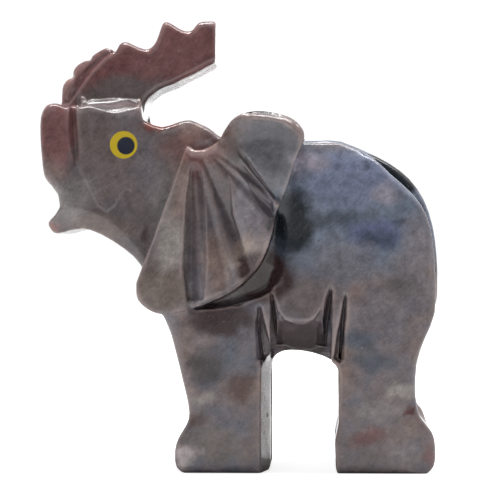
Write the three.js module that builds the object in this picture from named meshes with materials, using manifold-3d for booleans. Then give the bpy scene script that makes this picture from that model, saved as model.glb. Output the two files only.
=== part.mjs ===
// A small soapstone elephant with a raised trunk, sawn and carved from one block.
// Millimetres, +Z up. The head looks towards -X and the feet stand on z = 0.
// Side outlines are (x, z) points; a stand-out is a distance from the middle plane y = 0.
import * as THREE from 'three';
import { mergeVertices } from 'three/addons/utils/BufferGeometryUtils.js';
import Module from 'manifold-3d';

// Driving dimensions
const CARVING = {
  front: -23,
  rear: 21.1,
};
const HALF_WIDTH = {
  torso: 9.5,
  head: 7,
  trunk: 4.2,
  tail: 2.1,
  tuskInner: 2.7,
};
const EDGE = {
  torso: 0.9,
  head: 0.7,
  tail: 0.7,
};
const LEG_SLOT = {
  width: 4.2,
  top: 12.4,
};
const STONE = { color: 0x6f6468, roughness: 0.28, metalness: 0 };

const wasm = await Module();
wasm.setup();

// A closed geometry as a solid with its faces pointing out
function solid(geometry) {
  const bare = geometry.clone();
  bare.deleteAttribute('normal');
  bare.deleteAttribute('uv');
  const merged = mergeVertices(bare, 1e-4);
  const points = new Float32Array(merged.attributes.position.array);
  const corners = new Uint32Array(merged.index.array);
  if (signedVolume(points, corners) < 0) {
    corners.reverse();
  }
  return new wasm.Manifold(new wasm.Mesh({ numProp: 3, vertProperties: points, triVerts: corners }));
}

function signedVolume(points, corners) {
  const [a, b, c] = [new THREE.Vector3(), new THREE.Vector3(), new THREE.Vector3()];
  let volume = 0;
  for (let i = 0; i < corners.length; i += 3) {
    a.fromArray(points, corners[i] * 3);
    b.fromArray(points, corners[i + 1] * 3);
    c.fromArray(points, corners[i + 2] * 3);
    volume += a.dot(b.cross(c)) / 6;
  }
  return volume;
}

// Moves every vertex of a geometry to where place(point) puts it
function reshape(geometry, place) {
  const position = geometry.attributes.position;
  const point = new THREE.Vector3();
  for (let i = 0; i < position.count; i += 1) {
    point.fromBufferAttribute(position, i);
    place(point);
    position.setXYZ(i, point.x, point.y, point.z);
  }
  return geometry;
}

function mirrored(geometry) {
  return geometry.clone().scale(1, -1, 1);
}

function bothSides(geometry) {
  return [solid(geometry), solid(mirrored(geometry))];
}

const join = (first, others) => others.reduce((whole, next) => whole.add(next), first);
const cut = (first, others) => others.reduce((whole, next) => whole.subtract(next), first);
const vectors = (points) => points.map(([x, z]) => new THREE.Vector2(x, z));

// A smooth run through the points, as more points
function smoothRun(points, steps) {
  return new THREE.SplineCurve(vectors(points)).getPoints((points.length - 1) * steps);
}

// Side outline as a slab about the middle plane, or between two stand-outs
function slab(outline, from, to, edge = 0, rounds = 2) {
  const bevel = {
    bevelEnabled: edge > 0,
    bevelSize: edge,
    bevelOffset: -edge,
    bevelThickness: edge,
    bevelSegments: rounds,
  };
  const depth = to - from - 2 * edge;
  const geometry = new THREE.ExtrudeGeometry(new THREE.Shape(outline), { depth, steps: 1, ...bevel });
  return geometry.translate(0, 0, from + edge).rotateX(Math.PI / 2);
}

// Cross-section in (y, z) as a bar that runs along X
function bar(section, from, to) {
  const depth = to - from;
  const geometry = new THREE.ExtrudeGeometry(section, { depth, bevelEnabled: false, curveSegments: 8 });
  return geometry.rotateX(Math.PI / 2).rotateZ(Math.PI / 2).translate(from, 0, 0);
}

// Half outline, given from the bottom up on the positive side, closed by its mirror image
function symmetric(half) {
  const other = half.map((p) => new THREE.Vector2(-p.x, p.y)).reverse();
  return new THREE.Shape([...half, ...other]);
}

// Torso and legs
const torsoOutline = [
  ...smoothRun([[-7.0, 0], [-7.7, 0.6], [-7.9, 2.3], [-7.5, 3.8], [-6.6, 5.3], [-6.3, 6.6],
    [-6.7, 8.9], [-7.5, 12.2], [-8.3, 15.2], [-9.2, 17.4]], 2),
  ...smoothRun([[-9.4, 19.6], [-7.9, 26], [-5.6, 33], [-3.6, 36.0], [0, 36.2], [5.4, 36.0],
    [8.6, 36.4], [11.2, 35.8], [13.4, 34.8], [15.7, 32.7], [18.2, 30.4], [19.6, 28.2], [20.3, 25.2],
    [20.6, 21.6], [20.5, 17.6], [19.4, 14.7], [18.5, 12.0], [18.4, 8.4], [18.9, 6.2], [20.1, 4.5],
    [20.6, 2.5], [20.4, 0.8], [19.7, 0]], 2),
];
// The back is rounded across, and the rump and chest are rounded in plan
const backSection = symmetric([
  new THREE.Vector2(HALF_WIDTH.torso + 1, -2),
  new THREE.Vector2(HALF_WIDTH.torso + 1, 27),
  ...smoothRun([[HALF_WIDTH.torso, 30.5], [9.3, 32.8], [8.6, 34.6], [7.1, 36.0], [4.6, 36.9]], 2),
]);
const planSection = new THREE.Shape([
  ...smoothRun([[15, HALF_WIDTH.torso + 0.3], [18.2, 9.3], [19.8, 8.7], [20.7, 7.6], [21.2, 6.0]], 2),
  ...smoothRun([[21.2, -6.0], [20.7, -7.6], [19.8, -8.7], [18.2, -9.3], [15, -HALF_WIDTH.torso - 0.3]], 2),
  new THREE.Vector2(CARVING.front, -HALF_WIDTH.torso - 0.5),
  new THREE.Vector2(CARVING.front, HALF_WIDTH.torso + 0.5),
]);
const planBlank = new THREE.ExtrudeGeometry(planSection, { depth: 42, bevelEnabled: false });
planBlank.translate(0, 0, -2);
const torso = solid(slab(torsoOutline, -HALF_WIDTH.torso, HALF_WIDTH.torso, EDGE.torso, 3))
  .intersect(solid(bar(backSection, CARVING.front, CARVING.rear)))
  .intersect(solid(planBlank));

// The gap under the belly, wider at the outside, with a rounded roof
const ARCH = { fore: 2.4, hind: 10.1, roof: 13.3, flareStart: 4.6, foreFlare: 1.0 };
function bellyArch() {
  const outline = [
    new THREE.Vector2(ARCH.fore, -2),
    ...smoothRun([[ARCH.fore, 10.9], [ARCH.fore + 0.3, 12.4], [ARCH.fore + 1.4, ARCH.roof],
      [5.8, ARCH.roof + 0.1], [8.3, 12.8], [ARCH.hind - 0.4, 12.0], [ARCH.hind, 11.2]], 2),
    new THREE.Vector2(ARCH.hind, 5.5),
    new THREE.Vector2(ARCH.hind - 0.4, 3.5),
    new THREE.Vector2(ARCH.hind - 0.2, -2),
  ];
  const reach = HALF_WIDTH.torso + 2;
  const shape = new THREE.Shape(outline);
  const geometry = new THREE.ExtrudeGeometry(shape, { depth: 2 * reach, steps: 10, bevelEnabled: false });
  geometry.translate(0, 0, -reach).rotateX(Math.PI / 2);
  return reshape(geometry, (p) => {
    const out = Math.max(0, Math.abs(p.y) - ARCH.flareStart) / (HALF_WIDTH.torso - ARCH.flareStart);
    if (p.x < ARCH.fore + 1) {
      p.x -= ARCH.foreFlare * out;
    }
  });
}

// The saw cut between the left and right legs, along the whole length
function legSlot() {
  const half = LEG_SLOT.width / 2;
  const section = new THREE.Shape();
  section.moveTo(-half, -2);
  section.lineTo(half, -2);
  section.lineTo(half, LEG_SLOT.top - half);
  section.absarc(0, LEG_SLOT.top - half, half, 0, Math.PI);
  return bar(section, CARVING.front, CARVING.rear + 1);
}

// The sloped underside of the belly and the file grooves that part it from the legs
const CHAMFER = { from: 2.5, to: 9.3, top: 16.8, foot: 13.2, reachIn: 5.4 };
function bellyChamfer() {
  const section = new THREE.Shape(vectors([
    [-HALF_WIDTH.torso - 2, CHAMFER.foot - 3],
    [-CHAMFER.reachIn, CHAMFER.foot - 3],
    [-CHAMFER.reachIn, CHAMFER.foot],
    [-HALF_WIDTH.torso, CHAMFER.top],
    [-HALF_WIDTH.torso - 2, CHAMFER.top + 2],
  ]));
  return bar(section, CHAMFER.from, CHAMFER.to);
}

// A cut into the near side: place(across, down) gives [x, z, depth below the surface]
function dig(surface, across, down, place) {
  return reshape(new THREE.BoxGeometry(1, 1, 1, across, down, 1), (p) => {
    const [x, z, depth] = place(p.x + 0.5, p.y + 0.5);
    p.set(x, p.z > 0 ? -surface - 2 : -surface + depth, z);
  });
}

// A round-bottomed file groove along stations given as [x, z, width, depth]
function fileGroove(surface, stations) {
  const lastStation = stations.length - 1;
  return dig(surface, 4, lastStation, (across, down) => {
    const [x, z, width, depth] = stations[Math.round(down * lastStation)];
    return [x + (across - 0.5) * width, z, depth * Math.sin(Math.PI * across)];
  });
}

const BELLY_GROOVES = [
  [[1.0, 18.9, 0.1, 0], [1.1, 17.0, 0.5, 0.4], [1.3, 15.0, 0.9, 0.7], [1.6, 12.4, 1.3, 1.0]],
  [[2.6, 20.4, 0.1, 0], [2.8, 18.8, 0.8, 0.8], [3.0, 16.5, 1.1, 2.1], [3.2, 12.4, 1.3, 4.6]],
  [[9.2, 21.0, 0.1, 0], [9.0, 19.2, 1.0, 0.9], [8.7, 16.5, 1.4, 2.1], [8.4, 12.4, 1.5, 4.6]],
  [[10.6, 20.5, 0.1, 0], [10.5, 18.0, 0.5, 0.4], [10.4, 15.0, 0.8, 0.7], [10.2, 12.4, 1.0, 1.0]],
].map((stations) => fileGroove(HALF_WIDTH.torso, stations));

// The hollow around and under the ear, whose lower edge is the top of the foreleg
const HOLLOW = { depth: 1.3, edge: 0.7 };
function earHollow() {
  const outline = smoothRun([[-10.6, 19.0], [-8.4, 18.0], [-5.5, 17.9], [-2.4, 18.2], [0.3, 18.9],
    [2.6, 19.9], [3.9, 22.6], [4.1, 26.0], [3.5, 28.8], [0.5, 31.4], [-3, 33.6], [-7.8, 33.4],
    [-10.4, 27], [-10.6, 19.0]], 2);
  return slab(outline.slice(0, -1), HALF_WIDTH.torso - HOLLOW.depth, HALF_WIDTH.torso + 2, HOLLOW.edge, 1);
}

// Neck, cheeks, jaw and the snout that carries the tusks
const headOutline = [
  ...smoothRun([[-20.2, 40.3], [-17.8, 40.6], [-15.1, 40.2], [-13.2, 40.0], [-11.4, 38.7],
    [-9.5, 38.0], [-7.6, 38.6], [-6.3, 38.8], [-5.0, 38.1], [-3.4, 37.1], [-0.6, 35.9]], 2),
  new THREE.Vector2(-0.6, 21),
  new THREE.Vector2(-9.8, 18.6),
  ...smoothRun([[-11.0, 20.5], [-11.8, 22.8], [-13.7, 24.7], [-16.4, 26.3], [-18.4, 26.9],
    [-20.6, 26.5]], 2),
  ...smoothRun([[-21.5, 26.5], [-22.2, 27.4], [-21.4, 28.3], [-20.8, 29.3]], 2),
  ...smoothRun([[-21.0, 30.6], [-21.8, 31.7], [-22.5, 32.6], [-22.8, 34.6], [-23, 37.2],
    [-22.95, 39.2], [-22.3, 40.5], [-21.2, 40.7]], 2),
];
const headBlank = slab(headOutline, -HALF_WIDTH.head, HALF_WIDTH.head, EDGE.head, 2);

// The recess between the tusks
const RECESS = { depth: 1.5, foot: 31.0 };
function tuskRecess() {
  const outline = vectors([[CARVING.front - 1, RECESS.foot - 0.6], [CARVING.front + RECESS.depth, RECESS.foot],
    [CARVING.front + RECESS.depth, 42], [CARVING.front - 1, 42]]);
  return slab(outline, -HALF_WIDTH.tuskInner, HALF_WIDTH.tuskInner);
}
// The jaw turns under below the mouth, from no depth at the upper run to full depth at the lower
const JAW_TURN = 2.1;
function jawTurn() {
  const upper = new THREE.SplineCurve(
    vectors([[-24, 29.5], [-20.6, 29.2], [-17.5, 28.6], [-14.6, 27.0], [-11.6, 23.6]]),
  );
  const lower = new THREE.SplineCurve(
    vectors([[-24, 25.4], [-20.6, 25.4], [-17.6, 25.2], [-14.4, 22.6], [-11.6, 19.6]]),
  );
  return dig(HALF_WIDTH.head, 12, 2, (along, down) => {
    const place = upper.getPoint(along).lerp(lower.getPoint(along), down);
    return [place.x, place.y, JAW_TURN * Math.pow(down, 1.3)];
  });
}

// The cut behind each tusk, which narrows downwards and runs out on the cheek
const tuskGroove = fileGroove(HALF_WIDTH.head, [[-19.4, 41.6, 1.3, 1.6], [-19.4, 40.0, 1.1, 1.4],
  [-19.3, 37.5, 1.3, 1.0], [-19.1, 35.5, 1.1, 0.7], [-18.9, 33.3, 0.1, 0]]);

// The slope from the cheek's top edge up to the side of the trunk, which falls away at the back
const SHOULDER = { from: -18.6, to: -12.0, drop: 1.6 };
function cheekShoulder() {
  const section = new THREE.Shape(vectors([
    [-HALF_WIDTH.head + 0.6, 39.2],
    [-HALF_WIDTH.head + 0.3, 40.1],
    [-HALF_WIDTH.trunk, 41.4],
    [0, 41.4],
    [0, 39.2],
  ]));
  return reshape(bar(section, SHOULDER.from, SHOULDER.to), (p) => {
    p.z -= p.x > SHOULDER.to - 0.1 ? SHOULDER.drop : 0;
  });
}

// Trunk: the front edge is scalloped, the hollow edge is smooth, and the tip is a saw cut
const trunkFront = [[-21.2, 38.5], [-21.0, 41.9], [-20.0, 44.1], [-18.1, 45.9], [-15.9, 47.2],
  [-15.1, 46.8], [-14.0, 47.8], [-12.3, 47.1], [-11.2, 46.9], [-10.3, 47.8], [-9.6, 49.8],
  [-8.9, 49.9], [-7.4, 49.0], [-6.3, 49.0], [-5.5, 49.9], [-3.75, 50.0]];
const trunkHollow = [[-12.4, 37.0], [-11.8, 40.0], [-11.7, 40.7], [-11.5, 41.2], [-11.2, 41.6],
  [-11.0, 41.8], [-10.7, 42.0], [-10.2, 42.4], [-9.8, 42.6], [-9.3, 42.8], [-8.7, 43.0],
  [-8.2, 43.2], [-7.3, 43.7], [-6.4, 44.1], [-5.3, 44.7], [-3.75, 45.5]];
const TRUNK_BEVEL = { wide: 1.9, narrow: 0.55, hollow: 0.35 };

// Corner points of the trunk's section: share of the way across and stand-out
function trunkSection(width, bevel) {
  const side = HALF_WIDTH.trunk;
  const far = 1 - bevel / width;
  const near = TRUNK_BEVEL.hollow / width;
  const half = [[1, side - bevel], [1 - (1 - far) * 0.35, side - bevel * 0.42], [far, side],
    [near, side], [near * 0.3, side - TRUNK_BEVEL.hollow * 0.7], [0, side - TRUNK_BEVEL.hollow * 2]];
  const other = half.map(([share, out]) => [share, -out]).reverse();
  return [...half, ...other];
}

function trunk() {
  const stations = (trunkFront.length - 1) * 3;
  const front = new THREE.SplineCurve(vectors(trunkFront));
  const hollow = new THREE.SplineCurve(vectors(trunkHollow));
  const corners = 12;
  const geometry = new THREE.CylinderGeometry(1, 1, 1, corners, stations);
  return reshape(geometry, (p) => {
    const onAxis = Math.hypot(p.x, p.z) < 0.5;
    const share = p.y + 0.5;
    const outer = front.getPoint(share);
    const inner = hollow.getPoint(share);
    const slimmed = THREE.MathUtils.smoothstep(share, 0.12, 0.34);
    const bevel = THREE.MathUtils.lerp(TRUNK_BEVEL.wide, TRUNK_BEVEL.narrow, slimmed);
    const section = trunkSection(outer.distanceTo(inner), bevel);
    const turn = Math.atan2(p.x, p.z) / (2 * Math.PI);
    const corner = (Math.round(turn * corners) + corners) % corners;
    const [across, out] = onAxis ? [0.5, 0] : section[corner];
    p.set(THREE.MathUtils.lerp(inner.x, outer.x, across), out, THREE.MathUtils.lerp(inner.y, outer.y, across));
  });
}

// Back and tail: a raised strip down the rump
const tailOutline = [
  ...smoothRun([[2, 36.2], [8.9, 36.8], [11.2, 36.3], [13.3, 35.4], [15.7, 34.2], [18.0, 32.4],
    [19.6, 30.1], [20.6, 27.2], [21.05, 24], [21.1, 20.5], [20.9, 18.2], [19.6, 15.8]], 2),
  new THREE.Vector2(15, 18),
  new THREE.Vector2(4, 30),
];
const tail = solid(slab(tailOutline, -HALF_WIDTH.tail, HALF_WIDTH.tail, EDGE.tail, 2));

// Ear: a fan ruled from a short root rail to a long rim, both as [x, z, stand-out]
const earRoot = [[-6.6, 35.8, 8.7], [-5.9, 35.2, 9.1], [-4.7, 35.4, 9.3], [-3.6, 35.9, 9.6],
  [-2.9, 36.4, 10.0]];
const earRim = [[-12.1, 20.8, 9.1], [-11.8, 19.0, 9.1], [-9.9, 17.6, 9.3], [-7.3, 17.8, 10.5],
  [-6.1, 18.1, 9.8], [-4.6, 18.6, 11.0], [-3.0, 19.3, 10.7], [-1.9, 19.9, 10.1], [-0.6, 20.8, 11.0],
  [0.6, 21.9, 10.2], [1.7, 23.4, 11.2], [2.9, 26.8, 11.7], [3.15, 28.4, 10.9], [3.5, 29.2, 11.5],
  [3.8, 29.9, 11.0], [4.4, 31.4, 11.7], [5.2, 34.0, 12.1], [6.1, 36.9, 12.3], [5.0, 38.2, 12.3],
  [2.4, 39.3, 12.1], [0.4, 39.4, 11.8], [-1.3, 38.8, 11.2], [-2.4, 37.4, 10.6]];
const EAR = { around: 88, outward: 6, inner: 6.4, flapInner: 9.0, rim: 0.5, dish: 0.5 };

function ear() {
  const asVectors = (points) => points.map((p) => new THREE.Vector3(...p));
  const root = new THREE.CatmullRomCurve3(asVectors(earRoot));
  const rim = new THREE.CatmullRomCurve3(asVectors(earRim));
  const geometry = new THREE.BoxGeometry(1, 1, 1, EAR.around, EAR.outward, 1);
  return reshape(geometry, (p) => {
    const around = p.x + 0.5;
    const outward = p.y + 0.5;
    const start = root.getPoint(around);
    const end = rim.getPoint(around);
    const place = start.clone().lerp(end, outward);
    const flute = Math.pow(outward, 0.7);
    const dish = EAR.dish * Math.sin(Math.PI * outward);
    const rolled = EAR.rim * THREE.MathUtils.smoothstep(outward, 0.86, 1);
    const outside = THREE.MathUtils.lerp(start.z, end.z, flute) - dish - rolled;
    const flap = THREE.MathUtils.smoothstep(around, 0.6, 0.72);
    const inside = THREE.MathUtils.lerp(EAR.inner, EAR.flapInner, flap);
    p.set(place.x, p.z > 0 ? -outside : -inside, place.y);
  });
}

// The elephant: blank first, then the cuts, then the ears that stand on it
let carving = join(torso, [tail]);
carving = cut(carving, [
  ...bothSides(bellyChamfer()),
  ...bothSides(earHollow()),
  ...BELLY_GROOVES.flatMap(bothSides),
  solid(bellyArch()),
]);
let head = cut(solid(headBlank), bothSides(jawTurn()));
head = join(head, [solid(trunk()), ...bothSides(cheekShoulder())]);
head = cut(head, [solid(tuskRecess()), ...bothSides(tuskGroove)]);
carving = join(carving, [head, ...bothSides(ear())]);
carving = cut(carving, [solid(legSlot())]);

const cutMesh = carving.getMesh();
const geometry = new THREE.BufferGeometry();
geometry.setAttribute('position', new THREE.BufferAttribute(new Float32Array(cutMesh.vertProperties), 3));
geometry.setIndex(new THREE.BufferAttribute(new Uint32Array(cutMesh.triVerts), 1));
geometry.computeVertexNormals();

const elephant = new THREE.Mesh(geometry, new THREE.MeshStandardMaterial(STONE));
elephant.name = 'elephant';
elephant.position.x = -(CARVING.front + CARVING.rear) / 2;

const model = new THREE.Group();
model.add(elephant);
export default model;
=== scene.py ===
"""A small polished soapstone elephant with a raised trunk, in plain soft studio light."""

import math

import bmesh
import bpy
import numpy as np
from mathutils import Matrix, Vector
from mathutils.bvhtree import BVHTree


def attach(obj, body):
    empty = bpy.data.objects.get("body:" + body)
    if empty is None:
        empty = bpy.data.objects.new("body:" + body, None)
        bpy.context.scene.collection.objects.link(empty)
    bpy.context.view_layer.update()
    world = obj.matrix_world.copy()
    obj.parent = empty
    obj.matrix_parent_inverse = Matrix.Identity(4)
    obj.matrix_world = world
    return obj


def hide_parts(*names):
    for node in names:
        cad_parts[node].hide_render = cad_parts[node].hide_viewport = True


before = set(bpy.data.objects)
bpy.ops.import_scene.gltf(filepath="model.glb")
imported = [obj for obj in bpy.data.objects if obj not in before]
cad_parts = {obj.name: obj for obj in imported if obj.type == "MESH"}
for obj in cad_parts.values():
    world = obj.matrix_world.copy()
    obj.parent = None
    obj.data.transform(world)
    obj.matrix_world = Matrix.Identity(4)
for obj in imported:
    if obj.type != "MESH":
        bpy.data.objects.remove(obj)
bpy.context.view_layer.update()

MM = 0.001


# The carving
# One block of soft stone, sawn to a side outline, filed into shape and rubbed smooth with wet
# grit. Everything from the trunk's tip to the four feet is the same piece.
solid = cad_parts["elephant"]
VOXEL = 0.16 * MM
TRIANGLES = 190_000

blank = bmesh.new()
blank.from_mesh(solid.data)
bmesh.ops.remove_doubles(blank, verts=blank.verts, dist=0.001 * MM)
carved_mesh = bpy.data.meshes.new("carved_elephant")
blank.to_mesh(carved_mesh)
sawn = BVHTree.FromBMesh(blank)
blank.free()
carved = bpy.data.objects.new("carved_elephant", carved_mesh)
bpy.context.scene.collection.objects.link(carved)


def applied(piece, *steps):
    """Gives the piece the modifiers, each as (kind, settings), and returns the mesh they make."""
    for kind, settings in steps:
        modifier = piece.modifiers.new(kind.lower(), kind)
        for name, value in settings.items():
            setattr(modifier, name, value)
    finished = piece.evaluated_get(bpy.context.evaluated_depsgraph_get())
    made = bpy.data.meshes.new_from_object(finished)
    piece.modifiers.clear()
    return made


def places(mesh):
    """The mesh's points in millimetres, one row each."""
    found = np.empty(len(mesh.vertices) * 3, dtype=np.float32)
    mesh.vertices.foreach_get("co", found)
    return found.reshape(-1, 3).astype(np.float64) / MM


def normals(mesh):
    """The directions that the mesh's points face, one row each."""
    found = np.empty(len(mesh.vertices) * 3, dtype=np.float32)
    mesh.vertex_normals.foreach_get("vector", found)
    return found.reshape(-1, 3).astype(np.float64)


def ramp(value, low, high):
    """A smooth step from 0 at low to 1 at high."""
    share = np.clip((value - low) / (high - low), 0, 1)
    return share * share * (3 - 2 * share)


def from_line(x, z, line):
    """Distance of every point from a line on the side outline, and how far along the line it is."""
    nearest = np.full(len(x), 1e9)
    along = np.zeros(len(x))
    lengths = [math.dist(a, b) for a, b in zip(line, line[1:])]
    gone = 0.0
    for (a, b), length in zip(zip(line, line[1:]), lengths):
        dx, dz = b[0] - a[0], b[1] - a[1]
        share = np.clip(((x - a[0]) * dx + (z - a[1]) * dz) / length**2, 0, 1)
        away = np.hypot(x - a[0] - share * dx, z - a[1] - share * dz)
        closer = away < nearest
        nearest[closer] = away[closer]
        along[closer] = (gone + share[closer] * length) / sum(lengths)
        gone += length
    return nearest, along


def within(x, z, ring):
    """Which points lie inside a closed ring on the side outline."""
    inside = np.zeros(len(x), dtype=bool)
    for a, b in zip(ring, ring[1:] + ring[:1]):
        if a[1] == b[1]:
            continue
        crossing = a[0] + (z - a[1]) * (b[0] - a[0]) / (b[1] - a[1])
        inside ^= ((a[1] > z) != (b[1] > z)) & (x < crossing)
    return inside


def filed(x, z, first, last, at_first, at_last, edge, run_in):
    """Depth of a file cut between two rails: at_first on one, at_last on the other, and a run-in."""
    ring = first + last[::-1]
    from_first, along_first = from_line(x, z, first)
    from_last, along_last = from_line(x, z, last)
    share = from_first / np.maximum(from_first + from_last, 1e-6)
    depth = (at_first + (at_last - at_first) * share) * ramp((along_first + along_last) / 2, 0, run_in)
    from_edge = from_line(x, z, ring + ring[:1])[0]
    return np.where(within(x, z, ring), depth * ramp(from_edge, 0, edge), 0)


carved.data = applied(
    carved,
    ("REMESH", {"mode": "VOXEL", "voxel_size": VOXEL}),
    ("SMOOTH", {"factor": 0.5, "iterations": 5}),
)

# The shoulder between cheek and trunk runs level back to the hollow under the trunk
# A place on the side outline is in millimetres, with an x that is SIDE_SHIFT less than the object's.
SIDE_SHIFT = 0.95
SHOULDER_X = [-18.9, -18.7, -18.0, -17.2, -15.8, -14.4, -13.1, -12.4, -11.8]
FILED_INSIDE = [40.6, 40.9, 41.15, 41.3, 41.48, 41.52, 41.46, 41.36, 41.25]
FILED_OUTSIDE = [40.2, 40.3, 40.45, 40.42, 40.0, 39.8, 40.08, 40.3, 40.5]
INSIDE, OUTSIDE = 4.3, 6.6
CLEAR_INSIDE, CLEAR_OUTSIDE = 0.1, 0.2
BEVEL_WIDTH, BEVEL_DROP = 0.45, 0.42
ABOVE_ALL = 60


def sawn_top(out):
    """Height of the sawn block under each place along the shoulder, at a distance from the middle."""
    starts = [Vector(((x + SIDE_SHIFT) * MM, out * MM, ABOVE_ALL * MM)) for x in SHOULDER_X]
    return [sawn.ray_cast(start, Vector((0, 0, -1)))[0].z / MM for start in starts]


spot = places(carved.data)
x, z, out = spot[:, 0] - SIDE_SHIFT, spot[:, 2], np.abs(spot[:, 1])
sawn_inside = np.interp(x, SHOULDER_X, sawn_top(INSIDE + CLEAR_INSIDE))
sawn_outside = np.interp(x, SHOULDER_X, sawn_top(OUTSIDE - CLEAR_OUTSIDE))
filed_inside = np.interp(x, SHOULDER_X, FILED_INSIDE)
filed_outside = np.interp(x, SHOULDER_X, FILED_OUTSIDE)
across = np.clip((out - INSIDE) / (OUTSIDE - INSIDE), 0, 1)
bevel = np.clip((out - INSIDE) / BEVEL_WIDTH, 0, 1)
beyond = np.clip((out - INSIDE - BEVEL_WIDTH) / (OUTSIDE - INSIDE - BEVEL_WIDTH), 0, 1)
crease = filed_inside - BEVEL_DROP
wanted = filed_inside - BEVEL_DROP * bevel + (filed_outside - crease) * beyond
lift = wanted - sawn_inside - (sawn_outside - sawn_inside) * across
lift *= ramp(-x, 11.6, 12.1) * ramp(x, -19.3, -19.0) * ramp(out, 4.12, 4.35)
spot[:, 2] += lift * ramp(z, 37.4, 39.0) * (1 - ramp(z, 41.3, 42.8))
carved.data.vertices.foreach_set("co", (spot * MM).astype(np.float32).ravel())

# In front of the hip the back is left fuller than the saw cut it, up to a tight upper edge
FLANK_OUT, FULLER = 9.5, 0.5
spot = places(carved.data)
x, z, out = spot[:, 0] - SIDE_SHIFT, spot[:, 2], np.abs(spot[:, 1])
fuller = FULLER * (FLANK_OUT - out) * ramp(out, 6.0, 7.0) * (out < FLANK_OUT)
fuller *= ramp(x, 2.6, 4.0) * (1 - ramp(x, 9.6, 13.8)) * ramp(z, 31.0, 32.0) * (z < 36.8)
spot[:, 1] += np.sign(spot[:, 1]) * fuller
carved.data.vertices.foreach_set("co", (spot * MM).astype(np.float32).ravel())

# The hollow behind the ear dies out into the flank without an edge, and the flank turns softly
# into the back in front of the hip
behind_ear = from_line(x, z, [(3.7, 21.6), (4.5, 24.5), (4.5, 27.0), (3.9, 30.0)])[0]
blend = (1 - ramp(behind_ear, 1.1, 2.2)) * ramp(x, 3.0, 3.6) * (out < 9.7)
under_back = from_line(x, z, [(4.0, 34.4), (6.5, 34.4), (12.6, 34.0)])[0]
soft_back = (1 - ramp(under_back, 0.6, 1.5)) * ramp(x, 3.6, 5.0) * (out > 4.0) * (out < 9.9)
blend = np.maximum(blend, 0.8 * soft_back)
BLEND_ROUNDS = 160
group = carved.vertex_groups.new(name="blend")
for index in np.flatnonzero(blend > 0.01):
    group.add([int(index)], float(blend[index]), "REPLACE")
carved.data = applied(
    carved,
    ("SMOOTH", {"factor": 0.5, "iterations": BLEND_ROUNDS, "vertex_group": "blend"}),
)
carved.vertex_groups.clear()

# File cuts of the sides, alike left and right: two rails, the depth at each, the least |y| and the
# share of the length in which the file runs in, then how much painted shade darkens the cut.
# Places are millimetres on the side outline, and heights are up from the soles.
SIDE_CUTS = {
    "wide_ear_flute": (
        [(-6.05, 34.4), (-6.67, 30.67), (-6.91, 25.93), (-7.04, 22.46), (-6.58, 18.9)],
        [(-5.3, 34.3), (-4.75, 32.0), (-4.48, 28.84), (-4.46, 25.93), (-4.3, 23.01), (-4.57, 18.9)],
        0.42, 0.36, 8.3, 0.08, 0.3),
    "slanting_ear_flute": (
        [(-4.1, 33.4), (-3.7, 30.6), (-3.2, 27.5), (-2.5, 25.0), (-1.7, 22.8)],
        [(-2.3, 34.2), (-1.75, 32.1), (-1.4, 28.3), (-0.3, 24.7), (0.0, 23.4)],
        0.0, 0.55, 8.3, 0.4, 0.4),
    "flute_by_the_flap": (
        [(-1.2, 33.2), (0.0, 31.74), (1.09, 29.56), (2.18, 28.1), (3.0, 27.3)],
        [(-0.91, 34.83), (0.37, 33.01), (1.82, 31.37), (3.0, 29.7)],
        0.1, 0.5, 8.3, 0.3, 0.75),
    "fold_of_the_flap": (
        [(-0.91, 34.83), (0.37, 33.01), (1.82, 31.37), (3.0, 29.7)],
        [(-1.2, 36.2), (0.02, 34.62), (1.47, 32.63), (3.2, 30.2)],
        0.05, 0.6, 8.3, 0.25, 0.6),
    "step_under_the_cheek": (
        [(-18.7, 34.3), (-18.2, 32.79), (-17.37, 31.12), (-16.53, 29.46), (-15.56, 28.77),
         (-14.73, 29.46), (-13.5, 31.5)],
        [(-20.9, 33.8), (-20.2, 31.5), (-19.0, 29.0), (-17.2, 27.0), (-14.9, 26.0),
         (-13.3, 27.2), (-12.4, 30.6)],
        0.08, 0.0, 4.0, 0.1, 0.2),
    "hollow_over_the_foreleg": (
        [(-5.6, 18.35), (-4.08, 18.43), (-2.61, 18.2), (-0.78, 18.35), (1.05, 19.2), (2.4, 19.8)],
        [(-5.6, 18.7), (-2.4, 20.0), (0.0, 21.6), (1.5, 23.4), (3.0, 22.4)],
        0.5, 0.1, 6.0, 0.1, 0.35),
    "first_belly_cut": (
        [(1.14, 18.6), (1.19, 15.7), (1.35, 12.9), (1.5, 11.6)],
        [(1.5, 18.6), (2.1, 16.25), (2.6, 14.33), (2.95, 12.6)],
        0.85, 0.55, 5.0, 0.1, 0.9),
    "second_belly_cut": (
        [(2.45, 19.2), (2.73, 17.07), (3.19, 14.0)],
        [(3.2, 18.9), (3.61, 17.34), (3.9, 16.4), (3.9, 14.0)],
        0.8, 0.45, 5.0, 0.1, 0.9),
    "third_belly_cut": (
        [(9.2, 20.4), (8.3, 17.9), (7.6, 15.98), (7.5, 14.0)],
        [(9.5, 20.2), (9.3, 17.9), (9.0, 15.7), (8.8, 13.8)],
        0.5, 0.9, 5.0, 0.1, 0.9),
    "fourth_belly_cut": (
        [(10.75, 19.9), (10.3, 17.9), (9.8, 15.2), (9.4, 12.6)],
        [(10.98, 19.9), (10.9, 17.0), (10.55, 14.06), (10.3, 12.0)],
        0.6, 0.9, 5.0, 0.1, 0.9),
    "under_the_belly_tongue": (
        [(3.5, 18.2), (3.7, 17.6), (4.16, 16.95), (5.26, 16.48), (6.35, 16.49), (7.31, 16.95),
         (8.0, 17.9), (8.3, 18.5)],
        [(3.8, 14.0), (5.5, 13.4), (7.0, 13.4), (8.3, 14.0)],
        0.45, 0.15, 4.0, 0.01, 0.8),
}
CUT_EDGE = 0.16

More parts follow.
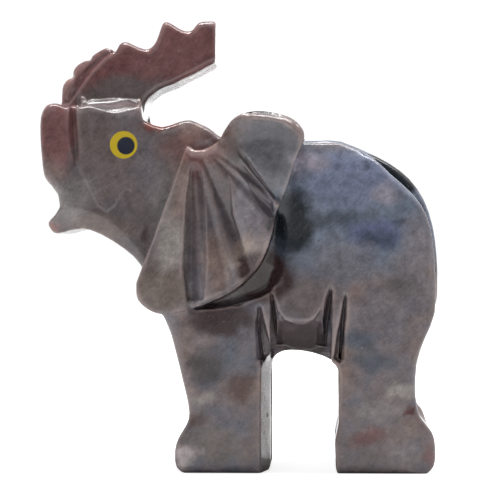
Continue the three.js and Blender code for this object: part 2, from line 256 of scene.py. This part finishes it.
spot = places(carved.data)
facing = normals(carved.data)
x, z, out = spot[:, 0] - SIDE_SHIFT, spot[:, 2], np.abs(spot[:, 1])
sideways = np.abs(facing[:, 1])
depth = np.zeros(len(x))
# How much painted shade darkens each point of the filed cuts
painted_cut_shade = np.zeros(len(x))
for first, last, at_first, at_last, least_out, run_in, cut_shade in SIDE_CUTS.values():
    reached = ramp(sideways, 0.25, 0.6) * (out > least_out)
    depth = np.maximum(depth, filed(x, z, first, last, at_first, at_last, CUT_EDGE, run_in) * reached)
    painted_cut_shade = np.maximum(painted_cut_shade, filed(x, z, first, last, cut_shade, cut_shade, CUT_EDGE, run_in / 2) * reached)
spot[:, 1] -= np.sign(spot[:, 1]) * depth

# A stroke parts the scalloped band in front of the trunk from its side. Nicks, which sink, and
# swells, which rise, are in mm: place, radius and how far they sink.
BAND_STROKE = [(-20.4, 41.2), (-19.1, 43.14), (-17.83, 44.82), (-16.42, 46.21), (-15.3, 46.91)]
BAND_WIDTH, BAND_DEPTH = 0.75, 0.4
away = from_line(x, z, BAND_STROKE)[0]
band = BAND_DEPTH * np.exp(-((away / (BAND_WIDTH / 2)) ** 2)) * (out > 1.2) * (out < 4.4)
NICKS_AND_SWELLS = [(-19.95, 44.0, 0.35, 0.3), (-18.0, 46.0, 0.35, 0.25), (-15.1, 47.3, 0.35, 0.25),
                    (-19.3, 45.1, 1.0, -0.3), (-20.7, 43.0, 0.9, -0.25), (5.0, 38.4, 2.2, -0.32),
                    (-4.6, 38.2, 1.0, -0.15), (20.6, 4.0, 1.2, -0.1),
                    (-11.6, 18.9, 2.0, -0.14), (-21.6, 26.4, 0.8, -0.14), (-4.0, 37.9, 0.9, -0.15)]
for nick_x, nick_z, radius, sunk in NICKS_AND_SWELLS:
    band += sunk * np.exp(-(((x - nick_x) ** 2 + (z - nick_z) ** 2) / radius**2))

# Rims left crisp by the file, which catch the light: the bowl on top of the ear and its flap
RIM_WIDTH, RIM_HEIGHT = 0.45, 0.24
RIMS = [
    ([(-6.7, 35.8), (-5.9, 35.05), (-4.6, 35.04), (-3.5, 35.5), (-2.9, 36.1)], 7.0, 13.0),
    ([(0.4, 38.9), (2.4, 38.75), (4.2, 38.3), (5.3, 37.6)], 7.0, 13.0),
]
for rim, least, most in RIMS:
    away, along = from_line(x, z, rim)
    ends = ramp(along, 0.0, 0.15) * (1 - ramp(along, 0.85, 1.0))
    band -= RIM_HEIGHT * np.exp(-((away / (RIM_WIDTH / 2)) ** 2)) * ends * (out > least) * (out < most)

# The flap's rim is filed to a narrow bevel above its crisp line
FLAP_RIM = [(-0.6, 38.75), (0.77, 39.0), (2.4, 38.9), (4.2, 38.4), (5.4, 37.6)]
RIM_BEVEL = 0.55
rim_height = np.interp(x, [px for px, pz in FLAP_RIM], [pz for px, pz in FLAP_RIM])
beside_rim = ramp(x, -0.6, 0.4) * (1 - ramp(x, 5.2, 5.9)) * (out > 7.0) * ramp(sideways, 0.1, 0.4)
spot[:, 1] -= np.sign(spot[:, 1]) * np.clip(z - rim_height, 0, RIM_BEVEL) * beside_rim

# The heel and the toe of the far feet stand out a little further than those of the near ones
for swell_x, swell_z, radius, raised in [(19.8, 6.3, 1.3, 0.8), (-8.9, 6.0, 1.0, 0.5)]:
    far = np.exp(-(((x - swell_x) ** 2 + (z - swell_z) ** 2) / radius**2)) * ramp(spot[:, 1], 3.0, 5.0)
    band -= raised * far

# Broad shallow unevenness that the hand leaves, which shows only in the gloss
for wave, (dx, dy, dz), height in (
    (5.2, (1.0, 0.6, 0.3), 0.009),
    (3.9, (-0.4, 0.9, 1.0), 0.007),
    (7.1, (0.8, -0.5, 0.9), 0.014),
):
    band -= height * np.sin(spot @ np.array([dx, dy, dz]) * 2 * math.pi / wave)
SMOOTHING_LOSS = 0.07
above_soles = ramp(z, 0.0, 0.8)
spot += facing * ((SMOOTHING_LOSS - band) * above_soles)[:, None]
carved.data.vertices.foreach_set("co", (spot * MM).astype(np.float32).ravel())
carved.data.update()
carved.data = applied(carved, ("SMOOTH", {"factor": 0.5, "iterations": 2}))

# How far each point stands above its surroundings: low places get a painted shade, raised edges a
# painted highlight that is partly rubbed wear
LEVEL_ROUNDS = 40
level = places(applied(carved, ("SMOOTH", {"factor": 0.5, "iterations": LEVEL_ROUNDS})))
relief = np.einsum("ij,ij->i", places(carved.data) - level, normals(carved.data))
stored = carved.data.attributes.new("relief", "FLOAT", "POINT")
stored.data.foreach_set("value", relief.astype(np.float32))
# The painted shade of the cuts goes to the shader as a point attribute
stored = carved.data.attributes.new("cut_shade", "FLOAT", "POINT")
stored.data.foreach_set("value", painted_cut_shade.astype(np.float32))
dense = len(carved.data.polygons) * 2
carved.data = applied(carved, ("DECIMATE", {"ratio": min(1.0, TRIANGLES / dense)}))
for polygon in carved.data.polygons:
    polygon.use_smooth = True


# Polished soapstone
# Grey and mauve talc stone with cloudy blue-grey, rust-red and cream patches that run through
# the block, fine flecks and hairlines. It is waxed, so it has a soft gloss. Its colour also has
# painted shade in the cuts and hollows, and painted highlights, sheen and reflections on some
# edges and slopes.
def node(tree, kind, links=(), **values):
    """Adds a shader node; values go to its settings or its sockets, links are (socket, source)."""
    made = tree.nodes.new(kind)
    for name, value in values.items():
        if hasattr(made, name):
            setattr(made, name, value)
        else:
            made.inputs[name.replace("_", " ")].default_value = value
    for socket, source in links:
        tree.links.new(source, made.inputs[socket])
    return made


def tone(red, green, blue):
    """A colour given as it is seen on a screen, 0 to 255, for a shader."""
    seen = [value / 255 for value in (red, green, blue)]
    return [((v + 0.055) / 1.055) ** 2.4 if v > 0.04 else v / 12.92 for v in seen] + [1.0]


MIX_UNDER, MIX_OVER, MIX_RESULT = 6, 7, 2


def covered(under, share, seen):
    """The colour with a share of a tone laid over it. A Mix node's colour sockets go by number."""
    over = node(tree, "ShaderNodeMix", [("Factor", share), (MIX_UNDER, under)], data_type="RGBA")
    over.inputs[MIX_OVER].default_value = tone(*seen)
    return over.outputs[MIX_RESULT]


def patch_group():
    """Mask of a soft oval patch, for clouds in the stone and for painted light and shade: its strength
    at the core, 0 beyond its reach.
    """
    group = bpy.data.node_groups.new("colour_patch", "ShaderNodeTree")
    for name, kind in (("Point", "Vector"), ("Centre", "Vector"), ("Reach", "Vector"),
                       ("Core", "Float"), ("Strength", "Float")):
        group.interface.new_socket(name, in_out="INPUT", socket_type="NodeSocket" + kind)
    group.interface.new_socket("Mask", in_out="OUTPUT", socket_type="NodeSocketFloat")
    given = group.nodes.new("NodeGroupInput").outputs
    apart = node(group, "ShaderNodeVectorMath", [(0, given["Point"]), (1, given["Centre"])],
                 operation="SUBTRACT")
    scaled = node(group, "ShaderNodeVectorMath", [(0, apart.outputs[0]), (1, given["Reach"])],
                  operation="DIVIDE")
    distance = node(group, "ShaderNodeVectorMath", [(0, scaled.outputs[0])], operation="LENGTH")
    fade = node(group, "ShaderNodeMapRange", [
        ("Value", distance.outputs["Value"]),
        ("From Min", given["Core"]),
        ("To Min", given["Strength"]),
    ], interpolation_type="SMOOTHSTEP", From_Max=1.0, To_Max=0.0)
    result = group.nodes.new("NodeGroupOutput")
    group.links.new(fade.outputs["Result"], result.inputs["Mask"])
    return group


soapstone = bpy.data.materials.new("polished_soapstone")
soapstone.use_nodes = True
tree = soapstone.node_tree
shader = tree.nodes["Principled BSDF"]
shader.inputs["IOR"].default_value = 1.5

where = node(tree, "ShaderNodeTexCoord")
in_mm = node(tree, "ShaderNodeMapping", [("Vector", where.outputs["Object"])], Scale=(1000, 1000, 1000),
             Location=(-SIDE_SHIFT, 0, 0))


def bent(scale, detail, reach):
    """The place in the stone, pushed about by noise so that clouds get ragged edges."""
    noise = node(tree, "ShaderNodeTexNoise", [("Vector", in_mm.outputs[0])], Scale=scale, Detail=detail,
                 Roughness=0.6)
    pushed = node(tree, "ShaderNodeVectorMath", [(0, noise.outputs["Color"])], operation="MULTIPLY_ADD")
    pushed.inputs[1].default_value = (reach, reach, reach)
    pushed.inputs[2].default_value = (-reach / 2, -reach / 2, -reach / 2)
    return node(tree, "ShaderNodeVectorMath", [(0, pushed.outputs[0]), (1, in_mm.outputs[0])]).outputs[0]


place = bent(0.34, 7.0, 3.6)
clouds = node(tree, "ShaderNodeTexNoise", [("Vector", in_mm.outputs[0])], Scale=0.17, Detail=5.0,
              Roughness=0.55, Distortion=0.5)
ground = node(tree, "ShaderNodeValToRGB", [("Fac", clouds.outputs["Fac"])])
GROUND = [(0.32, (85, 90, 100)), (0.46, (100, 95, 100)), (0.56, (110, 100, 100)),
          (0.70, (120, 105, 100))]
while len(ground.color_ramp.elements) < len(GROUND):
    ground.color_ramp.elements.new(0.5)
for element, (position, seen) in zip(ground.color_ramp.elements, GROUND):
    element.position = position
    element.color = tone(*seen)
colour = ground.outputs["Color"]

# Tones of the stone and of the painted shade, light and reflections, as they are seen on a screen, 0 to
# 255, in steps of five
TONES = {
    "chalk": (200, 190, 190),
    "cream": (175, 160, 150),
    "lilac": (165, 155, 160),
    "pale_grey": (145, 140, 135),
    "pale_blue": (145, 140, 150),
    "pale_mauve": (140, 120, 115),
    "bright_rust": (135, 100, 95),
    "mauve": (125, 110, 105),
    "warm_grey": (120, 115, 115),
    "violet_grey": (120, 115, 120),
    "light_blue_grey": (115, 120, 140),
    "blue_grey": (105, 115, 130),
    "grey": (105, 100, 105),
    "strong_blue": (95, 100, 125),
    "dull_mauve": (105, 95, 90),
    "brown_mauve": (95, 85, 85),
    "rust": (110, 80, 80),
    "deep_rust": (100, 70, 70),
    "fired_rust": (120, 65, 55),
    "rust_brown": (75, 55, 50),
    "red_brown": (75, 30, 35),
    "dull_slate": (85, 85, 90),
    "slate": (70, 75, 85),
    "brown_grey": (80, 75, 75),
    "dark_mauve": (60, 55, 55),
    "umber": (50, 35, 35),
    "night_blue": (45, 50, 60),
    "ink": (30, 35, 40),
}

# Clouds of colour in the stone, and patches of painted shade, light and reflection, in mm: centre,
# reach, share that is full core, strength, tone
PATCHES = {
    "warm_head": ((-14, 0, 32), (15, 16, 15), 0.75, 0.7, "brown_mauve"),
    "blue_body": ((11, 0, 29), (12, 15, 9), 0.75, 0.75, "blue_grey"),
    # Painted reflection: the pale lilac sheen of the shoulder's slope
    "shoulder_lilac_reflection": ((-15.5, 0, 40.8), (4.0, 7.5, 0.9), 0.3, 0.8, "lilac"),
    "neck_brown": ((-9.5, -6, 33), (4, 8, 5), 0.2, 0.6, "brown_grey"),
    "neck_by_the_ear": ((-9.2, -7, 30.6), (1.6, 5, 5), 0.2, 0.7, "warm_grey"),
    "cheek": ((-16, -6, 35), (3.6, 6, 5), 0.3, 0.8, "brown_mauve"),
    "behind_eye": ((-11, -6, 33.5), (2.5, 6, 4), 0.2, 0.7, "grey"),
    "snout_grey": ((-19.5, -5, 30.0), (4, 8, 3.6), 0.4, 0.9, "warm_grey"),
    "jaw": ((-16, -5, 27), (5, 8, 2), 0.3, 0.8, "dull_mauve"),
    "tusk_rust": ((-21.2, -4, 38), (2.8, 7, 5.6), 0.6, 0.95, "rust"),
    "tusk_foot": ((-21.5, -4, 33.4), (2.4, 7, 2), 0.2, 0.7, "mauve"),
    "chin_rust": ((-21.9, -4, 26.8), (1.2, 7, 1.2), 0.2, 0.8, "bright_rust"),
    "trunk_rust": ((-8, 0, 47), (9, 9, 4.4), 0.7, 1.0, "rust"),
    "trunk_front_rust": ((-17, 0, 45.5), (5.4, 9, 4.4), 0.6, 1.0, "deep_rust"),
    "trunk_band": ((-20.6, 0, 43.5), (2.0, 4.2, 3.6), 0.3, 0.9, "bright_rust"),
    "trunk_root": ((-14.6, -3, 42.2), (4.4, 9, 1.9), 0.4, 0.9, "brown_mauve"),
    "head_top_rust": ((-9.7, -5, 38.3), (2.4, 7, 1.0), 0.2, 0.9, "fired_rust"),
    "neck_hump": ((-5.9, -5, 37.6), (2.4, 7, 1.6), 0.3, 0.8, "pale_mauve"),
    "dark_neck_spot": ((-11.4, -7, 26.1), (0.7, 4, 1.3), 0.2, 0.8, "umber"),
    "ear_front_top": ((-7.4, -9, 31), (1.8, 4, 5), 0.2, 0.8, "mauve"),
    # Paler stone on the ear's front panel, lightened with painted light from the upper left
    "ear_front": ((-8.6, -10, 25.2), (2.4, 4, 4.4), 0.2, 0.9, "pale_grey"),
    "ear_lobe": ((-9.6, -10, 20.0), (4.6, 5, 3.0), 0.4, 0.9, "dull_mauve"),
    "ear_top_rust": ((-6.0, -9, 35.6), (4.6, 7, 2.3), 0.3, 0.55, "bright_rust"),
    "ear_flute_top": ((-5.5, -10, 33.5), (1.2, 4, 2.4), 0.3, 0.9, "deep_rust"),
    "ear_mauve": ((-3.2, -10, 23), (1.9, 4, 4.6), 0.3, 0.9, "mauve"),
    # Lighter stone on the ear's panel that faces up and right, lightened with painted light
    "ear_bright": ((-0.2, -11, 29.6), (1.9, 4, 4.2), 0.4, 0.95, "violet_grey"),
    "ear_back_lobe": ((0.2, -11, 23.6), (2.6, 4, 2.6), 0.2, 0.7, "cream"),
    "ear_flap": ((2.8, -11, 35.4), (4.4, 4, 5), 0.4, 0.95, "dull_slate"),
    "flap_fold": ((-1.0, -11, 35.1), (1.3, 4, 1.5), 0.3, 0.8, "dark_mauve"),
    # Painted light: lightens the hollow between the neck's hump and the ear's bowl
    "neck_hollow_painted_light": ((-4.7, -5, 36.5), (1.6, 5, 0.6), 0.3, 0.7, "lilac"),
    "flap_rust": ((-2.2, -11, 36.6), (1.8, 4, 2.2), 0.1, 0.8, "rust_brown"),
    "back_blue": ((11.2, -8, 32), (6.4, 8, 4.0), 0.4, 0.9, "light_blue_grey"),
    # Paler stone on the top of the back, with a painted sheen
    "back_pale_and_sheen": ((6.6, -9, 34), (2.6, 5, 1.5), 0.2, 0.9, "pale_blue"),
    "back_streak": ((9.4, -9, 31.6), (3.2, 5, 1.0), 0.2, 0.5, "light_blue_grey"),
    "back_spot": ((12.6, -9, 33.7), (0.6, 3, 0.6), 0.3, 0.8, "slate"),
    "dark_link": ((9.8, -8, 27.8), (5.0, 6, 1.3), 0.3, 0.9, "slate"),
    "hip_blue": ((14.0, -8, 26.2), (3.6, 6, 1.9), 0.45, 0.95, "strong_blue"),
    "dark_hip_low": ((14.0, -8, 25.5), (2.6, 6, 1.5), 0.2, 0.75, "night_blue"),
    "dark_hip_end": ((17.1, -8, 27.2), (1.6, 5, 0.7), 0.35, 0.8, "night_blue"),
    "pale_by_the_hip": ((15.4, -8, 30.6), (2.2, 6, 1.6), 0.3, 0.8, "pale_blue"),
    "middle_grey": ((10.5, -8, 23.4), (4.6, 7, 2.8), 0.3, 0.7, "grey"),
    "rump_grey": ((18.9, -6, 24), (2.8, 9, 6), 0.3, 0.8, "violet_grey"),
    "rump_brown": ((17, -8, 20.6), (2.6, 6, 2.0), 0.2, 0.7, "brown_grey"),
    # Painted shade under the belly's tongue
    "painted_shade_under_belly": ((5.9, -6, 14.4), (3.0, 6, 1.9), 0.6, 1.0, "brown_grey"),
    # Painted dark reflection on the rump's upper chamfer beyond the hip edge
    "painted_dark_reflection_behind_hip": ((15.8, 0, 33.0), (4.0, 6.6, 3.2), 0.7, 0.95, "ink"),
    "belly_mauve": ((6.2, -8, 19.2), (4.2, 7, 3.0), 0.4, 0.85, "brown_mauve"),
    # Dark blue-grey stone behind the ear, deepened with painted shade
    "dark_stone_and_shade_behind_ear": ((4.9, -8, 27.4), (2.9, 7, 3.9), 0.6, 1.0, "ink"),
    "dark_below": ((3.5, -8, 23.6), (2.0, 6, 2.4), 0.3, 0.85, "slate"),
    # Painted shade in the hollow under the ear's lobe, over the foreleg
    "painted_shade_over_foreleg": ((1.8, -8, 21.6), (3.5, 6, 3.4), 0.6, 0.95, "umber"),
    # Painted shadow of the ear on the top of the foreleg
    "painted_ear_shadow_on_foreleg": ((-2.6, -8, 16.8), (4.6, 7, 2.4), 0.5, 0.9, "umber"),
    "foreleg_grey": ((0.0, -8, 14.6), (1.6, 6, 2.2), 0.2, 0.8, "grey"),
    "foreleg_dark": ((-4.4, -8, 11.6), (2.8, 7, 2.6), 0.3, 0.9, "dark_mauve"),
    "foreleg_rust": ((-0.6, -8, 9.2), (2.0, 6, 2.0), 0.3, 0.85, "rust_brown"),
    "foreleg_vein": ((-4.6, -8, 8.2), (2.0, 6, 0.8), 0.2, 0.7, "pale_grey"),
    "ankle_brown": ((-5.4, -8, 6.2), (1.8, 6, 1.2), 0.2, 0.7, "rust_brown"),
    "forefoot": ((-4.0, -8, 3.0), (4.6, 7, 2.6), 0.3, 0.8, "dull_mauve"),
    "toe_pale": ((-6.6, -8, 2.1), (1.7, 6, 1.4), 0.3, 0.6, "chalk"),
    "hind_grey": ((14.5, -8, 17.5), (4.4, 7, 3.0), 0.3, 0.8, "grey"),
    "hind_slate": ((12.2, -8, 14.6), (2.6, 6, 1.4), 0.3, 0.9, "slate"),
    "hind_blue": ((13.8, -8, 12.4), (3.6, 7, 1.8), 0.3, 0.8, "slate"),
    "hind_pale": ((16.8, -8, 8.9), (2.4, 6, 1.0), 0.2, 0.9, "pale_grey"),
    "hind_low": ((14.4, -8, 7.2), (3.6, 7, 1.6), 0.2, 0.8, "warm_grey"),
    "hind_red_spot": ((17.5, -8, 7.2), (0.9, 4, 0.6), 0.4, 0.85, "red_brown"),
    "hind_foot_rust": ((13.2, -8, 4.0), (2.4, 6, 1.3), 0.3, 0.85, "deep_rust"),
    "hind_foot_violet": ((16.8, -8, 2.2), (2.6, 6, 1.6), 0.2, 0.7, "violet_grey"),
    "heel_rust": ((20.1, -7, 2.2), (1.2, 6, 2.0), 0.2, 0.85, "deep_rust"),
    "far_dark": ((12, 9, 30), (7, 6, 5), 0.2, 0.8, "slate"),
    "far_rust": ((13, 9, 17), (7, 6, 3.5), 0.1, 0.7, "rust"),
    "far_ear_pale": ((-3, 11, 27), (5, 4, 6), 0.2, 0.6, "warm_grey"),
    "far_leg": ((-4, 9, 9), (5, 6, 4), 0.2, 0.7, "dull_slate"),
}
CLOUD_SPREAD = 1.15
patch = patch_group()
for name, (centre, reach, core, strength, seen) in PATCHES.items():
    mask = node(tree, "ShaderNodeGroup", node_tree=patch, label=name)
    tree.links.new(place, mask.inputs["Point"])
    mask.inputs["Centre"].default_value = centre
    mask.inputs["Reach"].default_value = [CLOUD_SPREAD * r for r in reach]
    mask.inputs["Core"].default_value = core
    mask.inputs["Strength"].default_value = strength
    colour = covered(colour, mask.outputs["Mask"], TONES[seen])


def laid(under, value, low, high, share, seen):
    """Lays up to a share of a tone over the colour, where value goes from low to high."""
    reach = node(tree, "ShaderNodeMapRange", [("Value", value)],
                 From_Min=low, From_Max=high, To_Max=share)
    return covered(under, reach.outputs["Result"], seen)


# Soft mottling, a fine slanting fibre, and scattered pale and dark flecks
mottle = node(tree, "ShaderNodeTexNoise", [("Vector", in_mm.outputs[0])], Scale=0.75, Detail=7.0,
              Roughness=0.68)
slant = node(tree, "ShaderNodeMapping", [("Vector", in_mm.outputs[0])], vector_type="TEXTURE",
             Rotation=(0, math.radians(-42), 0), Scale=(0.62, 0.3, 0.26))
fibre = node(tree, "ShaderNodeTexNoise", [("Vector", slant.outputs[0])], Scale=1.0, Detail=6.0,
             Roughness=0.7)
cloudy = node(tree, "ShaderNodeMapRange", [("Value", mottle.outputs["Fac"])],
              From_Min=0.25, From_Max=0.75, To_Min=0.6, To_Max=1.4)
streaky = node(tree, "ShaderNodeMapRange", [("Value", fibre.outputs["Fac"])],
               From_Min=0.2, From_Max=0.8, To_Min=0.7, To_Max=1.3)
shade = node(tree, "ShaderNodeMath", [(0, cloudy.outputs[0]), (1, streaky.outputs[0])],
             operation="MULTIPLY")
richer = node(tree, "ShaderNodeHueSaturation", [("Color", colour), ("Value", shade.outputs[0])],
              Saturation=1.15)
colour = richer.outputs["Color"]
fleck = node(tree, "ShaderNodeTexNoise", [("Vector", place)], Scale=3.2, Detail=2.0, Roughness=0.5)
colour = laid(colour, fleck.outputs["Fac"], 0.68, 0.8, 0.3, (180, 168, 166))
colour = laid(colour, fleck.outputs["Fac"], 0.33, 0.24, 0.5, (44, 36, 42))

along_scratch = node(tree, "ShaderNodeMapping", [("Vector", in_mm.outputs[0])], vector_type="TEXTURE",
                     Rotation=(0, math.radians(-52), 0), Scale=(1.3, 0.2, 0.12))
scratch = node(tree, "ShaderNodeTexNoise", [("Vector", along_scratch.outputs[0])], Scale=1.0, Detail=2.0,
               Roughness=0.5)
colour = laid(colour, scratch.outputs["Fac"], 0.64, 0.76, 0.12, (160, 158, 166))

# Painted shade darkens the cuts and the low places, and a painted highlight, partly rubbed wear, pales
# the raised edges
raised = node(tree, "ShaderNodeAttribute", attribute_name="relief")
cut_shade_node = node(tree, "ShaderNodeAttribute", attribute_name="cut_shade")
# Painted shade in the filed cuts and in the hollow under the ear
colour = laid(colour, cut_shade_node.outputs["Fac"], 0.0, 1.0, 0.85, (68, 58, 60))
# Painted shade in low places
colour = laid(colour, raised.outputs["Fac"], -0.02, -0.2, 0.3, (56, 46, 50))
# Painted highlight on raised edges, partly rubbed wear
colour = laid(colour, raised.outputs["Fac"], 0.04, 0.2, 0.45, (172, 152, 148))

# The eyes: a yellow ring and a near-black pupil, both painted flat on the cheeks
EYE = (-13.7, 36.1)
PUPIL = (-13.45, 36.0)
RING_RADIUS, PUPIL_RADIUS = 1.52, 0.98
RING_TONE, PUPIL_TONE = (190, 165, 35), (30, 35, 50)


def disc(centre, radius, edge=0.05):
    """Mask of a painted dot on both cheeks, round in side view."""
    flat = node(tree, "ShaderNodeVectorMath", [(0, in_mm.outputs[0])], operation="SUBTRACT")
    flat.inputs[1].default_value = (centre[0], 0, centre[1])
    side = node(tree, "ShaderNodeVectorMath", [(0, flat.outputs[0])], operation="MULTIPLY")
    side.inputs[1].default_value = (1, 0, 1)
    away = node(tree, "ShaderNodeVectorMath", [(0, side.outputs[0])], operation="LENGTH")
    inside = node(tree, "ShaderNodeMapRange", [("Value", away.outputs["Value"])],
                  From_Min=radius - edge, From_Max=radius + edge, To_Min=1.0, To_Max=0.0)
    return inside.outputs["Result"]


ring = disc(EYE, RING_RADIUS)
pupil = disc(PUPIL, PUPIL_RADIUS)
for mask, seen in ((ring, RING_TONE), (pupil, PUPIL_TONE)):
    colour = covered(colour, mask, seen)
tree.links.new(colour, shader.inputs["Base Color"])

# Gloss: even wax with duller pores, and a bump of rubbing scratches
gloss = node(tree, "ShaderNodeMapRange", [("Value", mottle.outputs["Fac"])], From_Min=0.3, From_Max=0.7,
             To_Min=0.15, To_Max=0.23)
tree.links.new(gloss.outputs["Result"], shader.inputs["Roughness"])
height = node(tree, "ShaderNodeMath", [(0, fibre.outputs["Fac"]), (1, fleck.outputs["Fac"])],
              operation="ADD")
bump = node(tree, "ShaderNodeBump", [("Height", height.outputs[0])], Strength=0.15, Distance=0.0001)
tree.links.new(bump.outputs["Normal"], shader.inputs["Normal"])

carved.data.materials.clear()
carved.data.materials.append(soapstone)
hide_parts("elephant")
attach(carved, "root")


# The studio
# A round table of pale card under the carving, in a white room that is darker on the camera's side
# and bright at its far end, with a row of three softboxes overhead and a wide one in front.
TABLE_RADIUS = 0.8
TABLE_SIDES = 128
CARD_GLOW = 0.8

table_mesh = bpy.data.meshes.new("table")
top = bmesh.new()
bmesh.ops.create_circle(top, cap_ends=True, segments=TABLE_SIDES, radius=TABLE_RADIUS)
top.to_mesh(table_mesh)
top.free()
table = bpy.data.objects.new("table", table_mesh)
bpy.context.scene.collection.objects.link(table)
card = bpy.data.materials.new("pale_card")
card.use_nodes = True
card_shader = card.node_tree.nodes["Principled BSDF"]
card_shader.inputs["Base Color"].default_value = (0.8, 0.8, 0.8, 1.0)
card_shader.inputs["Roughness"].default_value = 0.9
card_shader.inputs["Specular IOR Level"].default_value = 0.1
card_shader.inputs["Emission Color"].default_value = (1.0, 1.0, 1.0, 1.0)
seen_directly = node(card.node_tree, "ShaderNodeLightPath")
lifted = node(card.node_tree, "ShaderNodeMath", [(0, seen_directly.outputs["Is Camera Ray"])],
              operation="MULTIPLY")
lifted.inputs[1].default_value = CARD_GLOW
card.node_tree.links.new(lifted.outputs[0], card_shader.inputs["Emission Strength"])
table.data.materials.append(card)

ROOM_BACK, ROOM_SIDES, ROOM_FRONT = 3.0, 0.8, 0.07
ROOM_AS_SEEN = 1.05
world = bpy.data.worlds.new("white_room")
bpy.context.scene.world = world
world.use_nodes = True
room = world.node_tree
background = room.nodes["Background"]
background.inputs["Color"].default_value = (1.0, 1.0, 1.0, 1.0)
look = node(room, "ShaderNodeTexCoord")
ways = node(room, "ShaderNodeSeparateXYZ", [("Vector", look.outputs["Generated"])])
walls = node(room, "ShaderNodeMapRange", [("Value", ways.outputs["Y"])],
             From_Min=-0.45, From_Max=0.1, To_Min=ROOM_FRONT, To_Max=ROOM_SIDES)
far_wall = node(room, "ShaderNodeMapRange", [("Value", ways.outputs["Y"])],
                From_Min=0.95, From_Max=0.995, To_Min=0.0, To_Max=ROOM_BACK - ROOM_SIDES)
lit = node(room, "ShaderNodeMath", [(0, walls.outputs[0]), (1, far_wall.outputs[0])], operation="ADD")
ray = node(room, "ShaderNodeLightPath")
seen_or_not = node(room, "ShaderNodeMix", [
    ("Factor", ray.outputs["Is Camera Ray"]),
    (2, lit.outputs[0]),
], data_type="FLOAT")
seen_or_not.inputs[3].default_value = ROOM_AS_SEEN
room.links.new(seen_or_not.outputs[0], background.inputs["Strength"])


def softbox(name, place, target, width, height, power):
    """A rectangular soft light that faces a point."""
    light = bpy.data.lights.new(name, "AREA")
    light.shape = "RECTANGLE"
    light.size = width
    light.size_y = height
    light.energy = power
    lamp = bpy.data.objects.new(name, light)
    lamp.location = place
    lamp.rotation_euler = (Vector(target) - Vector(place)).to_track_quat("-Z", "Y").to_euler()
    lamp.visible_camera = False
    bpy.context.scene.collection.objects.link(lamp)


ROW_Y, ROW_HEIGHT = 0.02, 0.45
for side, x, width, height, power in (
    ("left", -0.10, 0.20, 0.09, 1.75),
    ("right", 0.17, 0.24, 0.12, 1.1),
    ("middle", 0.035, 0.09, 0.09, 0.5),
):
    softbox("overhead_" + side, (x, ROW_Y, ROW_HEIGHT), (x, ROW_Y, 0), width, height, power)
softbox("front", (-0.22, -0.42, 0.30), (0, 0, 0.025), 0.40, 0.40, 0.55)

# The camera looks level at the near side, turned a little towards the rump
VIEW_POINT = Vector((0.98 * MM, 0, 24.47 * MM))
CAMERA_DISTANCE = 250 * MM
CAMERA_TURN = math.radians(2.0)
FOCAL_PIXELS = 2202
IMAGE_PIXELS = 500

lens = bpy.data.cameras.new("level_camera")
lens.sensor_width = 36.0
lens.lens = lens.sensor_width * FOCAL_PIXELS / IMAGE_PIXELS
lens.clip_start = 0.01
camera = bpy.data.objects.new("level_camera", lens)
away_from_carving = Vector((math.sin(CAMERA_TURN), -math.cos(CAMERA_TURN), 0))
camera.location = VIEW_POINT + CAMERA_DISTANCE * away_from_carving
camera.rotation_euler = (VIEW_POINT - camera.location).to_track_quat("-Z", "Y").to_euler()
bpy.context.scene.collection.objects.link(camera)
bpy.context.scene.camera = camera
bpy.context.scene.view_settings.view_transform = "Standard"
